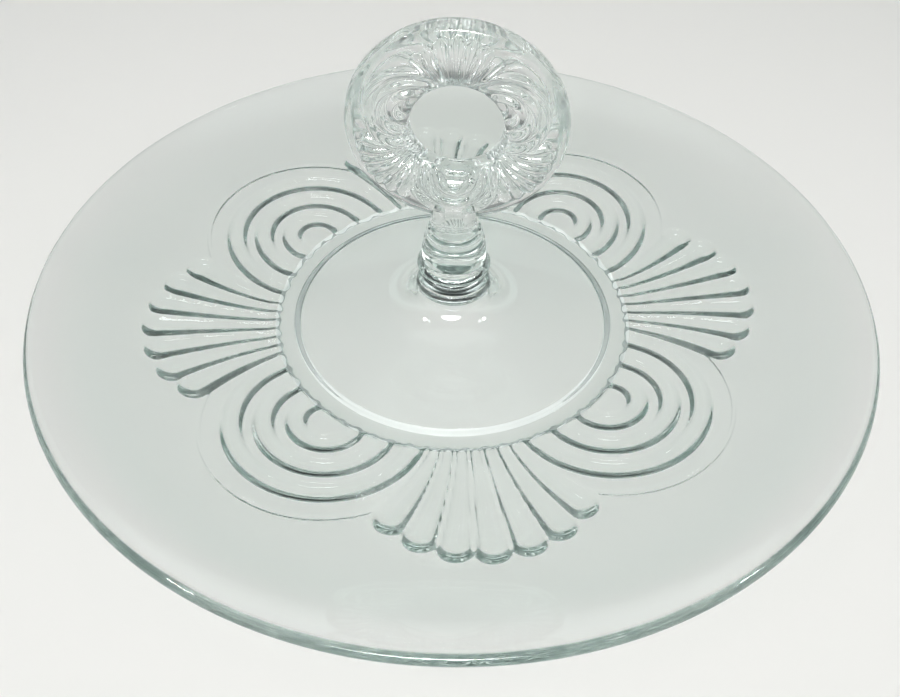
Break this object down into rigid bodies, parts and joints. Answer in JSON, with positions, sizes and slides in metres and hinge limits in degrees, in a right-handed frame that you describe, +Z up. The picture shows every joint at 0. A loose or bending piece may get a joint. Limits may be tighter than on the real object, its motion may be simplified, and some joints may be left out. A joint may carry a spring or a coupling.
{
  "type": "centre-handled serving plate",
  "caption": "Pressed clear-glass serving plate on a foot ring, with a central stem of fused wafers and a knop that carries a ring handle.",
  "frame": {"origin": "on the table, at the middle of the foot ring", "axes": "+Z up along the stem; the ring handle stands in the XZ plane and its finger hole runs along Y"},
  "size_m": [0.28, 0.28, 0.1162],
  "materials": {
    "serving_plate": "clear, fire polished",
    "base_collar": "clear, fire polished",
    "flange_merese": "clear, fire polished",
    "stem_knop": "clear, fire polished",
    "neck_merese": "clear, fire polished",
    "ring_handle": "clear, fire polished"
  },
  "bodies": {
    "root": {"serving_plate": "serving_plate", "base_collar": "base_collar", "flange_merese": "flange_merese", "stem_knop": "stem_knop", "neck_merese": "neck_merese", "ring_handle": "ring_handle"}
  },
  "joints": []
}
